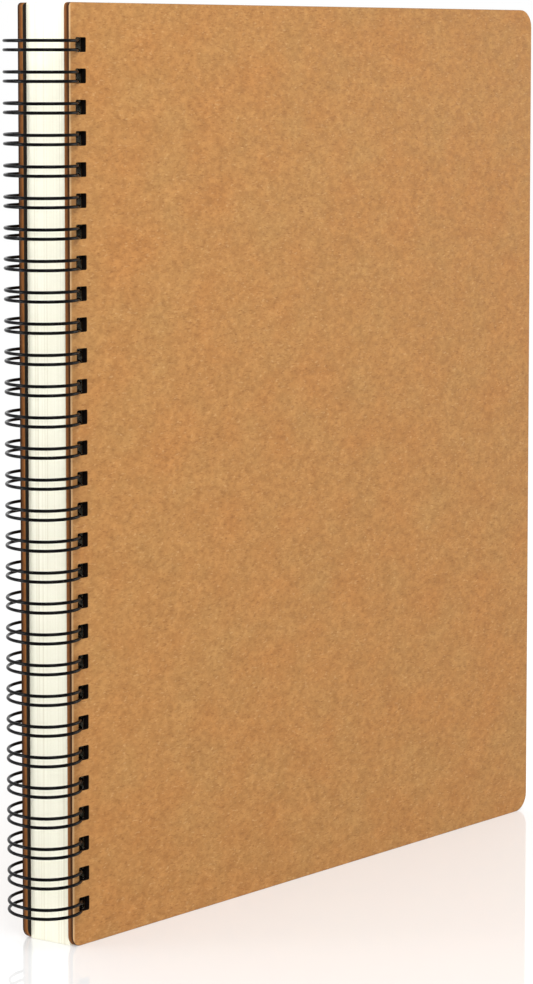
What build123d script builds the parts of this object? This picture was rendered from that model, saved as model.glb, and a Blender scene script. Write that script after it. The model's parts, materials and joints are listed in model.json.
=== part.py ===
"""A wire-bound sketchbook standing upright on its lower edge.

+X runs from the spine to the fore-edge, +Y from the front cover to the back cover and +Z up.
The origin is the middle of the bottom of the whole book, wire loops included. All sizes are in
millimetres. The covers and the sheets turn about one upright axis, the ring axis, which is the
centre of the round front of every wire loop.
"""

import os
from math import cos, radians, sin

from build123d import *

# Covers and sheets
cover_width = 210.0
book_height = 260.0
book_thickness = 17.5  # outer face to outer face
board_thickness = 2.1
board_fore_corner = 5.5  # radius
board_spine_corner = 1.2  # radius
back_cover_lag = 2.4  # the closed stack leans: the back cover lies this much nearer the loops

sheet_count = 50
sheet_thickness = 0.254
sheet_width = 206.0
sheet_spine_inset = 1.05  # behind the line between the two covers' spine edges
sheet_corner_cut = 3.0

# Punching: three holes to the inch
hole_pitch = 25.4 / 3
hole_count = 29
hole_size = 4.0
hole_to_edge = 2.5  # from a leaf's spine edge to the near side of its holes

# Wire
wire_diameter = 0.9
pair_spacing = 2.5  # between the two strands of one loop
pair_drop = 0.15  # the wire hangs this far below the middle of the holes
ring_radius = 9.12  # of the round front of a loop
spine_from_axis = 3.15  # ring axis to the front cover's spine edge, along X
face_from_axis = 6.4  # ring axis to the front cover's outer face, along Y
leaving_angle = 18.5  # where the wire leaves its circle for the back cover's holes
side_run = 1.81  # straight stretch beside the spine
rear_radius = 10.8
root_angle = 80.0  # end of the rear arc, behind the back cover's holes
link_bend = 1.0  # radius where a strand turns into the straight link to the next loop
tip_reach = 0.15  # how far the strands go past the back cover before their closed end

# Places that follow from those
wire_radius = wire_diameter / 2
axis_x = (ring_radius + wire_radius - spine_from_axis - cover_width) / 2
axis_y = (ring_radius - side_run - rear_radius) / 2
spine_x = axis_x + spine_from_axis
front_y = axis_y - face_from_axis
back_y = front_y + book_thickness
first_hole_z = (book_height - (hole_count - 1) * hole_pitch) / 2
hole_heights = [first_hole_z + hole_pitch * number for number in range(hole_count)]


def spine_edge_at(y):
    """X of the line between the two covers' spine edges, at one depth in the stack."""
    return spine_x - back_cover_lag * (y - front_y) / book_thickness


def punch(edge_x):
    """Cuts the row of square holes out of the leaf that is being drawn."""
    with Locations(*[(edge_x + hole_to_edge + hole_size / 2, z) for z in hole_heights]):
        Rectangle(hole_size, hole_size, mode=Mode.SUBTRACT)


def cover_board(edge_x, outer_y, inner_y):
    """One stiff board between two depths, with round fore-edge corners."""
    with BuildPart() as board:
        with BuildSketch(Plane.XZ.offset(-max(outer_y, inner_y))):
            with Locations((edge_x + cover_width / 2, book_height / 2)):
                Rectangle(cover_width, book_height)
            fillet(vertices().group_by(Axis.X)[-1], board_fore_corner)
            fillet(vertices().group_by(Axis.X)[0], board_spine_corner)
            punch(edge_x)
        extrude(amount=board_thickness)
    return board


def drawing_sheet(edge_x, middle_y):
    """One sheet of heavy drawing paper, with clipped fore-edge corners."""
    with BuildPart() as sheet:
        with BuildSketch(Plane.XZ.offset(-middle_y - sheet_thickness / 2)):
            with Locations((edge_x + sheet_width / 2, book_height / 2)):
                Rectangle(sheet_width, book_height)
            chamfer(vertices().group_by(Axis.X)[-1], sheet_corner_cut)
            punch(edge_x)
        extrude(amount=sheet_thickness)
    return sheet


os.makedirs("parts", exist_ok=True)

# Covers
front_cover = cover_board(spine_x, front_y, front_y + board_thickness)
front_cover.part.label = "front_cover"
export_step(front_cover.part, "parts/front_cover.step")

back_cover = cover_board(spine_x - back_cover_lag, back_y, back_y - board_thickness)
back_cover.part.label = "back_cover"
export_step(back_cover.part, "parts/back_cover.step")

# Sheets, numbered from the front
sheet_pitch = (book_thickness - 2 * board_thickness) / sheet_count
for number in range(sheet_count):
    sheet_y = front_y + board_thickness + (number + 0.5) * sheet_pitch
    sheet = drawing_sheet(spine_edge_at(sheet_y) + sheet_spine_inset, sheet_y)
    sheet.part.label = f"sheet_{number + 1:02d}"
    export_step(sheet.part, f"parts/{sheet.part.label}.step")

# One wire loop, about the height z = 0. Its two strands are mirror images: each comes from the
# straight link to the next loop, goes round behind the back cover, along the outside of the
# spine, in through the front cover's hole and out through the back cover's, and there they meet.
strand_z = pair_spacing / 2
link_end_z = hole_pitch / 2
rear_x, rear_y = axis_x - ring_radius + rear_radius, axis_y + side_run
root = Vector(
    rear_x + rear_radius * cos(radians(root_angle)),
    rear_y + rear_radius * sin(radians(root_angle)),
    strand_z,
)
root_heading = Vector(sin(radians(root_angle)), -cos(radians(root_angle)))
leaving = Vector(
    axis_x + ring_radius * cos(radians(leaving_angle)),
    axis_y + ring_radius * sin(radians(leaving_angle)),
    strand_z,
)
leaving_heading = Vector(-sin(radians(leaving_angle)), cos(radians(leaving_angle)))
tip = leaving + leaving_heading * ((back_y + tip_reach - leaving.Y) / leaving_heading.Y)
tip_end = tip + leaving_heading * strand_z - Vector(0, 0, strand_z)

with BuildPart() as wire_loop:
    with BuildLine() as strands:
        link_foot = root + root_heading * link_bend + Vector(0, 0, link_bend)
        Line((link_foot.X, link_foot.Y, link_end_z), link_foot)
        TangentArc(link_foot, root, tangent=(0, 0, -1))
        CenterArc((rear_x, rear_y, strand_z), rear_radius, root_angle, 180 - root_angle)
        Line(
            (axis_x - ring_radius, rear_y, strand_z), (axis_x - ring_radius, axis_y, strand_z)
        )
        CenterArc((axis_x, axis_y, strand_z), ring_radius, 180, 180 + leaving_angle)
        Line(leaving, tip)
        TangentArc(tip, tip_end, tangent=leaving_heading)
        mirror(about=Plane.XY)
    with BuildSketch(Plane((link_foot.X, link_foot.Y, link_end_z))):
        Circle(wire_radius)
    sweep(path=strands.wires()[0])

# The binding is one long wire. Its loops are kept as separate solids that meet end to end in
# the middle of the straight links.
binding_wire = Compound(
    label="binding_wire",
    children=[
        wire_loop.part.solid().moved(Location((0, 0, z - pair_drop))) for z in hole_heights
    ],
)
export_step(binding_wire, "parts/binding_wire.step")

wire_length = strands.wires()[0].length
print("ring axis", round(axis_x, 4), round(axis_y, 4))
print("front cover's spine edge and outer face", round(spine_x, 4), round(front_y, 4))
print("loop wire length", round(wire_length, 3), "volume", round(wire_loop.part.volume, 3))
print("section times length", round(3.14159265 * wire_radius**2 * wire_length, 3))
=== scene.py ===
import json
from math import cos, radians, sin

import bmesh
import bpy
from mathutils import Matrix, Vector


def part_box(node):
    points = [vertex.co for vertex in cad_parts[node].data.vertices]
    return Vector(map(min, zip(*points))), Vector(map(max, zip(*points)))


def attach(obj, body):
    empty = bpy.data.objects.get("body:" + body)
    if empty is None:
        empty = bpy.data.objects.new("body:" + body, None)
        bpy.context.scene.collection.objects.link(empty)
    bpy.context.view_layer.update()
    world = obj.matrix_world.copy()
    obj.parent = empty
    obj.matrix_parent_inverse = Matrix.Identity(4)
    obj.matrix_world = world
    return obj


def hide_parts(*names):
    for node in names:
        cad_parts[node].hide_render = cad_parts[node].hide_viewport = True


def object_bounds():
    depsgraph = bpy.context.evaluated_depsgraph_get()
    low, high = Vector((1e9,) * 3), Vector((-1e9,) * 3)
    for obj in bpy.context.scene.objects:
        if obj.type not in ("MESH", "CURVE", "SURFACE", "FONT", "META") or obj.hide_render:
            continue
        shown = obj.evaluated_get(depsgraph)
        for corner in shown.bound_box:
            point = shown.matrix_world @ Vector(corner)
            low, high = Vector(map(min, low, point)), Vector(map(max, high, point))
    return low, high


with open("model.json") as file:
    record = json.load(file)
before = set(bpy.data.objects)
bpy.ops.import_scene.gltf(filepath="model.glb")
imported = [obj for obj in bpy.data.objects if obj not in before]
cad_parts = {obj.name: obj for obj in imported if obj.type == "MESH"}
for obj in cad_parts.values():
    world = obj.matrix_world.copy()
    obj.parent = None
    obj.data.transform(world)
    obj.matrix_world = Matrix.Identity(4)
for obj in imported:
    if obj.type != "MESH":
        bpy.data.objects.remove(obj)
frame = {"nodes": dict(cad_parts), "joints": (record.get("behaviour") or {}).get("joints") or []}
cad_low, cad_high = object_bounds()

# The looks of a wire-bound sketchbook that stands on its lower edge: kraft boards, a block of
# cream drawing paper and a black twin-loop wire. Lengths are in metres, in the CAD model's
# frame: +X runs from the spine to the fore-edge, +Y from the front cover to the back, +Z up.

MM = 0.001

# Punching, the same in every leaf
HOLE_PITCH = 25.4 / 3 * MM
HOLE_COUNT = 29
HOLE_SIZE = 4.0 * MM
HOLE_TO_EDGE = 2.5 * MM  # from a leaf's spine edge to the near side of its holes
HOLE_CORNER = 0.35 * MM  # radius
HOLE_CORNER_STEPS = 2

# Covers: radii of the corners, and of the rounding of the edges
BOARD_FORE_CORNER = 5.5 * MM
BOARD_SPINE_CORNER = 1.2 * MM
BOARD_FOOT_CORNER = 3.0 * MM  # at the spine, worn rounder by standing on it
BOARD_CORNER_STEPS = 8
BOARD_EASE = 0.28 * MM
HOLE_EASE = 0.12 * MM
EASE_STEPS = 3
LINED_SHARE = 0.7  # of the ease, from the face, that the kraft lining still covers

# Sheets
SHEET_FORE_CORNER = 5.0 * MM
SHEET_SPINE_CORNER = 0.5 * MM
SHEET_CORNER_STEPS = 6

# A leaf's material slots
FACES, EDGE, HOLE_WALLS = 0, 1, 2

# Wire. Seen from above, a loop has a round front about the ring axis, a short straight side
# along the spine and a flatter arc behind. Angles are in degrees from +X.
WIRE_RADIUS = 0.45 * MM
WIRE_SIDES = 14
HALF_PAIR = 1.25 * MM  # half the space between the two strands of a loop
PAIR_DROP = 0.15 * MM  # of the loops, below the middle of their holes
SIDE_RUN = 1.81 * MM
REAR_RADIUS = 10.8 * MM
ROOT_ANGLE = 80.0  # where the arc behind starts, at the links
LEAVING_ANGLE = 18.5  # where the round front ends, straight on to the closed tip
LINK_BEND = 1.0 * MM  # radius of the bends between loops and links
TIP_REACH = 0.15 * MM  # from the back cover to the start of the closed tip's bend
ARC_STEP = 6.0  # degrees between points, as are the next two
LINK_STEP = 22.5
TIP_STEP = 15.0

front_low, front_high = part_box("front_cover")
back_low, back_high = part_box("back_cover")
wire_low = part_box("binding_wire")[0]
ring_axis = Vector(frame["joints"][0]["pos_m"])  # every leaf turns about it
ring_radius = ring_axis.x - wire_low.x - WIRE_RADIUS
book_height = front_high.z - front_low.z
first_hole_z = (book_height - (HOLE_COUNT - 1) * HOLE_PITCH) / 2
hole_heights = [first_hole_z + HOLE_PITCH * number for number in range(HOLE_COUNT)]
sheet_names = sorted(name for name in frame["nodes"] if name.startswith("sheet_"))


def add_object(name, data):
    added = bpy.data.objects.new(name, data)
    bpy.context.scene.collection.objects.link(added)
    return added


# Materials: linear colours, with their alpha

WHITE = (1.0, 1.0, 1.0, 1.0)

KRAFT_RUDDY = (0.372, 0.166, 0.046, 1.0)
KRAFT_SANDY = (0.364, 0.184, 0.056, 1.0)
KRAFT_DARK_FIBRE = (0.20, 0.075, 0.018, 1.0)
KRAFT_PALE_FIBRE = (0.56, 0.33, 0.14, 1.0)
# Painted highlight along the outer spine edge of a board
KRAFT_PAINTED_HIGHLIGHT = (0.58, 0.37, 0.19, 1.0)
# Painted shade on a board's inner face along the spine
KRAFT_PAINTED_SHADE = (0.004, 0.002, 0.001, 1.0)

CORE_DARK_PLY = (0.15, 0.046, 0.010, 1.0)
CORE_PALE_PLY = (0.29, 0.104, 0.024, 1.0)
CORE_TORN = (0.36, 0.155, 0.048, 1.0)
# Darkening of the cut edge near the outer face, and painted shade near the inner face
CORE_DARK_AND_SHADE = (0.012, 0.004, 0.002, 1.0)

PAPER_DEEP = (0.90, 0.885, 0.745, 1.0)
PAPER_PALE = (0.945, 0.93, 0.80, 1.0)
# Painted shade of the gaps between sheets
PAPER_GAP_SHADE = (0.74, 0.69, 0.54, 1.0)

# Near-black for the walls of the holes: painted shade
HOLE_SHADE_DARK = (0.004, 0.003, 0.003, 1.0)
HOLE_SHADE_PALE = (0.012, 0.009, 0.008, 1.0)
COAT_DARK = (0.0012, 0.0011, 0.0013, 1.0)
COAT_PALE = (0.003, 0.0028, 0.0033, 1.0)

# Factors on a colour, for its darker and its lighter places
MOTTLE_TINTS = (0.935, 0.915, 0.885, 1.0), (1.065, 1.075, 1.095, 1.0)
PULP_TINTS = (0.875, 0.845, 0.80, 1.0), (1.11, 1.13, 1.16, 1.0)
PAPER_TINTS = (0.975, 0.97, 0.96, 1.0), (1.01, 1.01, 1.015, 1.0)

# Distances from a board's spine edge over which a mark along that edge fades out
# The painted highlight on the outer spine edge fades out over these
PAINTED_HIGHLIGHT_FADE = (0.25 * MM, 0.8 * MM)
# The painted shade on the inner face fades out over these
PAINTED_SHADE_FADE = (1.2 * MM, 2.0 * MM)


class Shading:
    """A material under construction: add() makes a node, whose inputs are values or sockets."""

    def __init__(self, name, **values):
        self.material = bpy.data.materials.new(name)
        self.material.use_nodes = True
        self.tree = self.material.node_tree
        self.shader = self.tree.nodes["Principled BSDF"]
        for key, value in values.items():
            self.shader.inputs[key.replace("_", " ")].default_value = value

    def add(self, kind, inputs=None, **settings):
        node = self.tree.nodes.new("ShaderNode" + kind)
        for key, value in settings.items():
            setattr(node, key, value)
        for key, value in (inputs or {}).items():
            self.join(value, node.inputs[key])
        return node

    def join(self, value, socket):
        if isinstance(value, bpy.types.NodeSocket):
            self.tree.links.new(value, socket)
        else:
            socket.default_value = value

    def place(self, scale, turn=(0.0, 0.0, 0.0)):
        """The point being shaded, in millimetres of the piece, stretched by scale."""
        where = self.add("TexCoord").outputs["Object"]
        in_mm = [factor / MM for factor in scale]
        mapping = self.add("Mapping", {"Vector": where, "Rotation": turn, "Scale": in_mm})
        return mapping.outputs["Vector"]

    def noise(self, scale, turn=(0.0, 0.0, 0.0), detail=3.0, roughness=0.55):
        """Noise with so many bumps to the millimetre along each axis."""
        inputs = {
            "Vector": self.place(scale, turn),
            "Scale": 1.0,
            "Detail": detail,
            "Roughness": roughness,
        }
        return self.add("TexNoise", inputs).outputs["Fac"]

    def span(self, value, start, end, low, high):
        """value, from start to end, made into low to high and kept between them."""
        inputs = {"Value": value, 1: start, 2: end, 3: low, 4: high}
        return self.add("MapRange", inputs).outputs["Result"]

    def attribute(self, name):
        return self.add("Attribute", attribute_name=name).outputs["Fac"]

    def sum(self, first, second):
        return self.add("Math", {0: first, 1: second}, operation="ADD").outputs["Value"]

    def product(self, first, second):
        return self.add("Math", {0: first, 1: second}, operation="MULTIPLY").outputs["Value"]

    def mix(self, factor, first, second, blend="MIX"):
        """Colour first turned into colour second by factor."""
        mixer = self.add("Mix", data_type="RGBA", blend_type=blend)
        self.join(factor, mixer.inputs["Factor"])
        self.join(first, mixer.inputs[6])
        self.join(second, mixer.inputs[7])
        return mixer.outputs[2]

    def tint(self, factor, colour, tints):
        """Colour times the first tint, turned into colour times the second by factor."""
        darker, lighter = [self.mix(1.0, colour, tint, "MULTIPLY") for tint in tints]
        return self.mix(factor, darker, lighter)

    def bump(self, height, strength, distance):
        inputs = {"Height": height, "Strength": strength, "Distance": distance}
        self.join(self.add("Bump", inputs).outputs["Normal"], self.shader.inputs["Normal"])

    def finish(self, colour, roughness):
        self.join(colour, self.shader.inputs["Base Color"])
        self.join(roughness, self.shader.inputs["Roughness"])
        return self.material


def kraft_lining():
    """Unbleached kraft paper on the boards: fine pulp with scattered light and dark fibres."""
    look = Shading("kraft_lining", Specular_IOR_Level=0.2)
    clouds = look.noise((0.05, 0.05, 0.06), turn=(0.5, 0.3, 0.2), detail=4.0, roughness=0.6)
    mottle = look.noise((0.2, 0.2, 0.26), turn=(0.7, 0.4, 0.5), detail=5.0, roughness=0.7)
    pulp = look.noise((0.5, 0.5, 0.65), turn=(0.6, 0.8, 0.3), detail=4.0, roughness=0.65)
    colour = look.mix(look.span(clouds, 0.32, 0.68, 0.0, 1.0), KRAFT_RUDDY, KRAFT_SANDY)
    colour = look.tint(look.span(mottle, 0.38, 0.62, 0.0, 1.0), colour, MOTTLE_TINTS)
    colour = look.tint(look.span(pulp, 0.36, 0.64, 0.0, 1.0), colour, PULP_TINTS)
    # Long fibres lie both ways; only the crests of each noise show
    for turn in ((0.0, 0.6, 0.0), (0.0, -0.7, 0.0)):
        fibres = look.noise((0.6, 1.5, 2.2), turn=turn, detail=3.0)
        colour = look.mix(look.span(fibres, 0.58, 0.70, 0.0, 0.5), colour, KRAFT_DARK_FIBRE)
    pale = look.noise((0.6, 1.5, 1.6), turn=(0.0, 1.35, 0.0), detail=3.0)
    colour = look.mix(look.span(pale, 0.60, 0.72, 0.0, 0.45), colour, KRAFT_PALE_FIBRE)
    # A pale band on the outside along the spine edge: painted highlight of the rounded edge
    # catching the light
    across, from_spine = look.attribute("across"), look.attribute("from_spine")
    outside = look.span(across, 0.15, 0.3, 0.75, 0.0)
    at_edge = look.span(from_spine, *PAINTED_HIGHLIGHT_FADE, 1.0, 0.0)
    colour = look.mix(look.product(outside, at_edge), colour, KRAFT_PAINTED_HIGHLIGHT)
    # The inside of a board is painted near-black along the spine: painted shade of the gap
    # between the board and the paper block
    inside = look.span(across, 0.9, 0.99, 0.0, 1.0)
    near_spine = look.span(from_spine, *PAINTED_SHADE_FADE, 1.0, 0.0)
    colour = look.mix(look.product(inside, near_spine), colour, KRAFT_PAINTED_SHADE)
    look.bump(look.sum(pulp, look.noise((4.0, 4.0, 4.0), detail=2.0)), 0.2, 0.05 * MM)
    return look.finish(colour, look.span(pulp, 0.3, 0.7, 0.55, 0.7))


def board_core():
    """The cut edge of a board: brown layers, darker towards the outer face, with painted shade
    at the inner face where the paper block sits.
    """
    look = Shading("board_core", Specular_IOR_Level=0.12)
    across = look.attribute("across")
    plies = look.noise((0.08, 5.0, 0.08), detail=2.0)
    torn = look.noise((0.9, 2.5, 0.9), detail=3.0)
    colour = look.mix(look.span(plies, 0.35, 0.65, 0.0, 1.0), CORE_DARK_PLY, CORE_PALE_PLY)
    colour = look.mix(look.span(torn, 0.4, 0.7, 0.0, 0.35), colour, CORE_TORN)
    # Darker towards the outer face; the dark band at the inner face is painted shade of the gap
    # to the paper block
    outer = look.span(across, 0.2, 0.8, 0.92, 0.0)
    inner = look.span(across, 0.93, 1.0, 0.0, 0.9)
    colour = look.mix(look.sum(outer, inner), colour, CORE_DARK_AND_SHADE)
    look.bump(look.sum(plies, torn), 0.5, 0.08 * MM)
    return look.finish(colour, look.span(torn, 0.3, 0.7, 0.7, 0.85))


def drawing_paper():
    """Heavy cream paper with a little tooth; each sheet's tone differs slightly."""
    look = Shading("drawing_paper", Specular_IOR_Level=0.25)
    sheets = look.noise((0.004, 1.9, 0.004), detail=1.0)
    groups = look.noise((0.002, 0.35, 0.002), detail=2.0)
    gap_shade_lines = look.noise((0.006, 2.6, 0.006), detail=1.0)
    tooth = look.noise((2.2, 2.2, 2.2), detail=4.0, roughness=0.65)
    clouds = look.noise((0.05, 0.05, 0.05), detail=2.0)
    tone = look.span(look.sum(sheets, groups), 0.8, 1.2, 0.0, 1.0)
    colour = look.mix(tone, PAPER_DEEP, PAPER_PALE)
    # Thin dark lines along the sheets' edges: painted shade of the gaps between sheets
    colour = look.mix(look.span(gap_shade_lines, 0.56, 0.66, 0.0, 0.6), colour, PAPER_GAP_SHADE)
    grain = look.span(look.sum(tooth, clouds), 0.8, 1.25, 0.0, 1.0)
    colour = look.tint(grain, colour, PAPER_TINTS)
    look.bump(tooth, 0.3, 0.04 * MM)
    return look.finish(colour, look.span(tooth, 0.3, 0.7, 0.78, 0.9))


def painted_hole_shade():
    """The inside of the holes, painted near-black all over: painted shade of the deep holes."""
    look = Shading("painted_hole_shade", Specular_IOR_Level=0.03)
    blotch = look.noise((1.5, 2.5, 1.5), detail=2.0)
    colour = look.mix(look.span(blotch, 0.35, 0.65, 0.0, 1.0), HOLE_SHADE_DARK, HOLE_SHADE_PALE)
    return look.finish(colour, look.span(blotch, 0.3, 0.7, 0.8, 0.9))


def coated_wire():
    """Steel wire in a black nylon coat."""
    look = Shading("coated_wire", Specular_IOR_Level=0.06)
    coat = look.noise((1.2, 1.2, 1.2), detail=3.0)
    colour = look.mix(look.span(coat, 0.35, 0.65, 0.0, 1.0), COAT_DARK, COAT_PALE)
    look.bump(coat, 0.1, 0.02 * MM)
    return look.finish(colour, look.span(coat, 0.3, 0.7, 0.12, 0.18))


# Leaves: boards and sheets are flat, with one row of holes


def rounded_outline(low, high, radii, steps, grow=0.0):
    """(x, z) points round a rectangle, anticlockwise from its lower left corner.

    radii holds one radius for each corner, and grow moves the whole line outward."""
    corners = ((low[0], low[1]), (high[0], low[1]), (high[0], high[1]), (low[0], high[1]))
    inward = ((1, 1), (-1, 1), (-1, -1), (1, -1))
    points = []
    for number, (corner, side, radius) in enumerate(zip(corners, inward, radii)):
        centre_x, centre_z = corner[0] + side[0] * radius, corner[1] + side[1] * radius
        for step in range(steps + 1):
            angle = radians(180 + 90 * (number + step / steps))
            reach = radius + grow
            points.append((centre_x + reach * cos(angle), centre_z + reach * sin(angle)))
    return points


def edge_profile(thickness, ease):
    """(inset, depth) pairs across a leaf's edge, from its front face to its back face."""
    if not ease:
        return [(0.0, 0.0), (0.0, thickness)]
    angles = [radians(90 * step / EASE_STEPS) for step in range(EASE_STEPS + 1)]
    front = [(ease * (1 - sin(angle)), ease * (1 - cos(angle))) for angle in angles]
    return front + [(inset, thickness - depth) for inset, depth in reversed(front)]


def add_rim(leaf, profile, front_y, outline_at):
    """Joins rings of vertices across the edge and returns the edges of its two face rings."""
    rings = []
    for inset, depth in profile:
        ring = [leaf.verts.new((x, front_y + depth, z)) for x, z in outline_at(inset)]
        rings.append(ring)
    faces = []
    for near, far in zip(rings, rings[1:]):
        for number in range(len(near)):
            corners = near[number - 1], near[number], far[number], far[number - 1]
            faces.append(leaf.faces.new(corners))
    ends = []
    for ring in (rings[0], rings[-1]):
        pairs = zip(ring[-1:] + ring, ring)
        ends.append([leaf.edges.get(pair) for pair in pairs])
    return faces, ends


def punched_leaf(name, low, high, radii, corner_steps, ease, hole_ease, materials):
    """A leaf between two corners of its box. materials has one for each slot."""
    leaf = bmesh.new()
    thickness = high.y - low.y
    hole_x = low.x + HOLE_TO_EDGE
    box_low, box_high = (low.x, low.z), (high.x, high.z)

    def outer(inset):
        return rounded_outline(box_low, box_high, radii, corner_steps, -inset)

    faces, (front_edges, back_edges) = add_rim(leaf, edge_profile(thickness, ease), low.y, outer)
    slots = {face: EDGE for face in faces}
    for height in hole_heights:
        hole_low = (hole_x, height - HOLE_SIZE / 2)
        hole_high = (hole_x + HOLE_SIZE, height + HOLE_SIZE / 2)

        def hole(inset):
            corners = [HOLE_CORNER] * 4
            return rounded_outline(hole_low, hole_high, corners, HOLE_CORNER_STEPS, inset)

        faces, (front, back) = add_rim(leaf, edge_profile(thickness, hole_ease), low.y, hole)
        slots.update({face: HOLE_WALLS for face in faces})
        front_edges += front
        back_edges += back
    for edges in (front_edges, back_edges):
        bmesh.ops.triangle_fill(leaf, edges=edges, use_beauty=True)
        for edge in edges:
            edge.smooth = False
    bmesh.ops.recalc_face_normals(leaf, faces=leaf.faces)
    for face in leaf.faces:
        face.smooth = True
        depth = face.calc_center_median().y - low.y
        lined = min(depth, thickness - depth) < ease * LINED_SHARE
        face.material_index = FACES if lined else slots.get(face, FACES)

    mesh = bpy.data.meshes.new(name)
    leaf.to_mesh(mesh)
    leaf.free()
    for material in materials:
        mesh.materials.append(material)
    return add_object(name, mesh)


def note_places(piece, outer_y, inner_y):
    """Stores how far each vertex lies through the board, from 0 outside to 1 at the paper, and
    how far it lies from the spine edge."""
    across = piece.data.attributes.new("across", "FLOAT", "POINT")
    from_spine = piece.data.attributes.new("from_spine", "FLOAT", "POINT")
    edge_x = min(vertex.co.x for vertex in piece.data.vertices)
    for vertex, depth, reach in zip(piece.data.vertices, across.data, from_spine.data):
        depth.value = (vertex.co.y - outer_y) / (inner_y - outer_y)
        reach.value = vertex.co.x - edge_x


def make_cover(name, node, body, faces_y, materials):
    """faces_y holds the places of the board's outer face and of its inner one."""
    low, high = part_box(node)
    radii = [BOARD_FOOT_CORNER, BOARD_FORE_CORNER, BOARD_FORE_CORNER, BOARD_SPINE_CORNER]
    steps = BOARD_CORNER_STEPS
    cover = punched_leaf(name, low, high, radii, steps, BOARD_EASE, HOLE_EASE, materials)
    note_places(cover, *faces_y)
    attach(cover, body)
    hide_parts(node)


def make_sheet(node, materials):
    low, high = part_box(node)
    radii = [SHEET_SPINE_CORNER, SHEET_FORE_CORNER, SHEET_FORE_CORNER, SHEET_SPINE_CORNER]
    name = "paper_" + node
    sheet = punched_leaf(name, low, high, radii, SHEET_CORNER_STEPS, 0.0, 0.0, materials)
    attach(sheet, node)
    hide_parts(node)


# Wire


def arc(centre, radius, start, end, height):
    """Points along a level arc between two angles."""
    count = round(abs(end - start) / ARC_STEP)
    angles = [radians(start + (end - start) * number / count) for number in range(count + 1)]
    return [
        Vector((centre[0] + radius * cos(angle), centre[1] + radius * sin(angle), height))
        for angle in angles
    ]


def bend(centre, first, second, radius, degrees, step):
    """Points that turn about centre, from the direction first towards the direction second."""
    count = round(degrees / step)
    angles = [radians(degrees * number / count) for number in range(count + 1)]
    return [centre + radius * (first * cos(angle) + second * sin(angle)) for angle in angles]


def loop_line():
    """The middle line of one loop about z = 0, from the link above it to the link below it."""
    up = Vector((0.0, 0.0, 1.0))
    rear = (ring_axis.x - ring_radius + REAR_RADIUS, ring_axis.y + SIDE_RUN)
    root_turn, leaving_turn = radians(ROOT_ANGLE), radians(LEAVING_ANGLE)
    root_heading = Vector((sin(root_turn), -cos(root_turn), 0.0))
    leaving_heading = Vector((-sin(leaving_turn), cos(leaving_turn), 0.0))
    behind = arc(rear, REAR_RADIUS, ROOT_ANGLE, 180.0, HALF_PAIR)
    front = arc(ring_axis, ring_radius, 180.0, 360.0 + LEAVING_ANGLE, HALF_PAIR)
    link_centre = behind[0] + up * LINK_BEND
    link = bend(link_centre, root_heading, -up, LINK_BEND, 90.0, LINK_STEP)
    to_back = (back_high.y + TIP_REACH - front[-1].y) / leaving_heading.y
    tip = front[-1] + leaving_heading * to_back
    tip_centre = tip - up * HALF_PAIR
    closed_end = bend(tip_centre, up, leaving_heading, HALF_PAIR, 180.0, TIP_STEP)
    strand = [link[0].xy.to_3d() + up * HOLE_PITCH / 2] + link[:-1] + behind + front
    lower = [Vector((point.x, point.y, -point.z)) for point in reversed(strand)]
    return strand + closed_end + lower


def tube(name, line, radius, sides, material):
    """A round wire along a line of points, closed at both ends."""
    verts, faces = [], []
    side = Vector((1.0, 0.0, 0.0))
    for number, point in enumerate(line):
        before, after = line[max(number - 1, 0)], line[min(number + 1, len(line) - 1)]
        along = (after - before).normalized()
        side = (side - along * side.dot(along)).normalized()
        other = along.cross(side)
        for corner in range(sides):
            angle = radians(360 * corner / sides)
            verts.append(point + radius * (side * cos(angle) + other * sin(angle)))
    for ring in range(len(line) - 1):
        for corner in range(sides):
            here, following = ring * sides + corner, ring * sides + (corner + 1) % sides
            faces.append((here, following, following + sides, here + sides))
    faces.append(tuple(reversed(range(sides))))
    faces.append(tuple(range(len(verts) - sides, len(verts))))
    mesh = bpy.data.meshes.new(name)
    mesh.from_pydata(verts, [], faces)
    mesh.polygons.foreach_set("use_smooth", [True] * len(faces))
    mesh.materials.append(material)
    return add_object(name, mesh)


def make_wire(material):
    """One long wire through every loop, from the top one to the bottom one."""
    one_loop = loop_line()
    line = []
    for height in reversed(hole_heights):
        lift = Vector((0.0, 0.0, height - PAIR_DROP))
        shared = 1 if line else 0  # the point where this loop meets the one above
        line += [point + lift for point in one_loop[shared:]]
    wire = tube("binding_wire_loops", line, WIRE_RADIUS, WIRE_SIDES, material)
    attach(wire, "back")
    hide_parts("binding_wire")


# Studio

FLOOR_SIZE = 12.0
MIRROR_SHARE = 0.25  # of what the floor sends back
MIRROR_ROUGHNESS = 0.02
SHADE_SHARE = 0.6  # of the floor's light that shadows can take away
BACKGROUND_STRENGTH = 1.0
# Place from the middle of the spine, size, watts and colour
SOFTBOXES = {
    "key_softbox": ((-0.22, -0.45, 0.43), (0.36, 0.3), 2.45, (1.0, 0.99, 0.97)),
    "left_softbox": ((-0.55, 0.5, 0.08), (0.15, 0.4), 1.8, (1.0, 1.0, 1.0)),
    "right_softbox": ((0.85, -0.42, 0.12), (0.35, 0.06), 1.0, (1.0, 1.0, 1.0)),
}
FOCAL_LENGTH = 112.85  # mm
FRAME_SHIFT = (-0.0005, -0.204)  # of the frame's longer side
CAMERA_FROM_CORNER = Vector((-0.59323, -0.58994, 0.24619))  # from the front cover's foot
CAMERA_HEADING = 48.82  # degrees from +Y towards +X
CAMERA_DIP = 4.41
CAMERA_ROLL = 0.02
CAMERA_CLIP = (0.01, 100.0)


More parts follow.
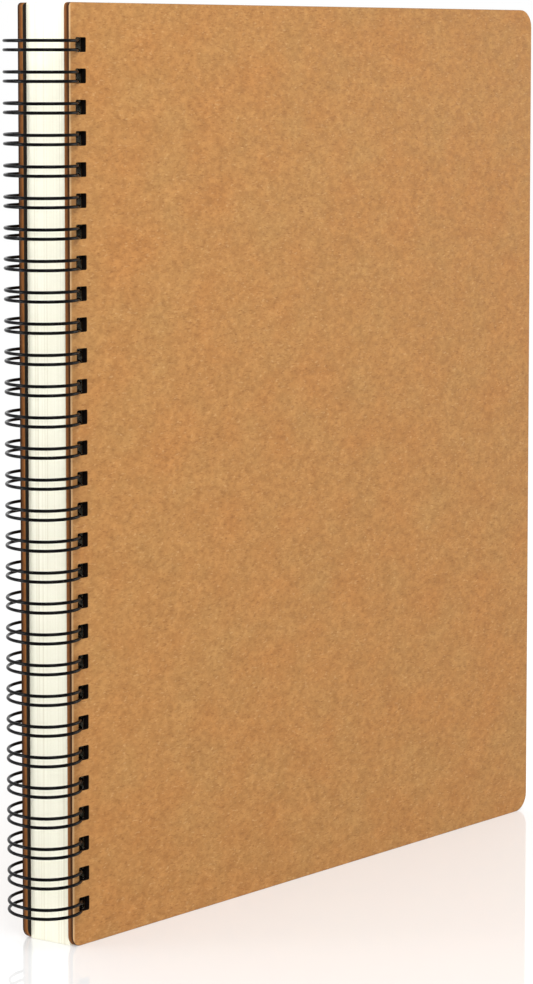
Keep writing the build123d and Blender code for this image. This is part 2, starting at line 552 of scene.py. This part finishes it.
def studio_floor():
    """A bright floor that lights the book from below and mirrors it faintly."""
    material = bpy.data.materials.new("studio_floor")
    material.use_nodes = True
    tree = material.node_tree
    tree.nodes.clear()
    glow = tree.nodes.new("ShaderNodeEmission")
    glow.inputs["Strength"].default_value = 1.0 - SHADE_SHARE
    matt = tree.nodes.new("ShaderNodeBsdfDiffuse")
    matt.inputs["Color"].default_value = (SHADE_SHARE, SHADE_SHARE, SHADE_SHARE, 1.0)
    base = tree.nodes.new("ShaderNodeAddShader")
    mirror = tree.nodes.new("ShaderNodeBsdfGlossy")
    mirror.inputs["Color"].default_value = WHITE
    mirror.inputs["Roughness"].default_value = MIRROR_ROUGHNESS
    both = tree.nodes.new("ShaderNodeMixShader")
    both.inputs["Fac"].default_value = MIRROR_SHARE
    output = tree.nodes.new("ShaderNodeOutputMaterial")
    tree.links.new(glow.outputs["Emission"], base.inputs[0])
    tree.links.new(matt.outputs["BSDF"], base.inputs[1])
    tree.links.new(base.outputs["Shader"], both.inputs[1])
    tree.links.new(mirror.outputs["BSDF"], both.inputs[2])
    tree.links.new(both.outputs["Shader"], output.inputs["Surface"])
    return material


def make_floor():
    half = FLOOR_SIZE / 2
    verts = [(-half, -half, 0.0), (half, -half, 0.0), (half, half, 0.0), (-half, half, 0.0)]
    mesh = bpy.data.meshes.new("floor")
    mesh.from_pydata(verts, [], [(0, 1, 2, 3)])
    mesh.materials.append(studio_floor())
    add_object("floor", mesh)


def make_background():
    world = bpy.data.worlds.new("studio")
    bpy.context.scene.world = world
    world.use_nodes = True
    background = world.node_tree.nodes["Background"]
    background.inputs["Color"].default_value = WHITE
    background.inputs["Strength"].default_value = BACKGROUND_STRENGTH


def make_lights():
    middle = (cad_low + cad_high) / 2
    spine = Vector((cad_low.x, middle.y, middle.z))
    for name, (from_spine, size, watts, colour) in SOFTBOXES.items():
        light = bpy.data.lights.new(name, "AREA")
        light.shape = "RECTANGLE"
        light.size, light.size_y = size
        light.energy = watts
        light.color = colour
        lamp = add_object(name, light)
        lamp.location = spine + Vector(from_spine)
        lamp.rotation_euler = (spine - lamp.location).to_track_quat("-Z", "Y").to_euler()


def make_camera():
    corner = Vector((front_low.x, front_low.y, 0.0))
    lens = bpy.data.cameras.new("camera")
    lens.lens = FOCAL_LENGTH
    lens.shift_x, lens.shift_y = FRAME_SHIFT
    lens.clip_start, lens.clip_end = CAMERA_CLIP
    camera = add_object("camera", lens)
    turns = (
        Matrix.Rotation(radians(-CAMERA_HEADING), 4, "Z")
        @ Matrix.Rotation(radians(90 - CAMERA_DIP), 4, "X")
        @ Matrix.Rotation(radians(CAMERA_ROLL), 4, "Z")
    )
    camera.matrix_world = Matrix.Translation(corner + CAMERA_FROM_CORNER) @ turns
    bpy.context.scene.camera = camera


bpy.context.scene.view_settings.view_transform = "Standard"
make_camera()
make_background()
make_lights()
make_floor()

# The walls of the holes in boards and sheets are painted near-black: painted shade of the deep
# holes
hole_shade_material = painted_hole_shade()
board_materials = [kraft_lining(), board_core(), hole_shade_material]
# Each cover's outer face, then its inner one
front_faces, back_faces = (front_low.y, front_high.y), (back_high.y, back_low.y)
make_cover("front_cover_board", "front_cover", "front_cover", front_faces, board_materials)
make_cover("back_cover_board", "back_cover", "back", back_faces, board_materials)
paper = drawing_paper()
paper_materials = [paper, paper, hole_shade_material]
for sheet_name in sheet_names:
    make_sheet(sheet_name, paper_materials)
make_wire(coated_wire())
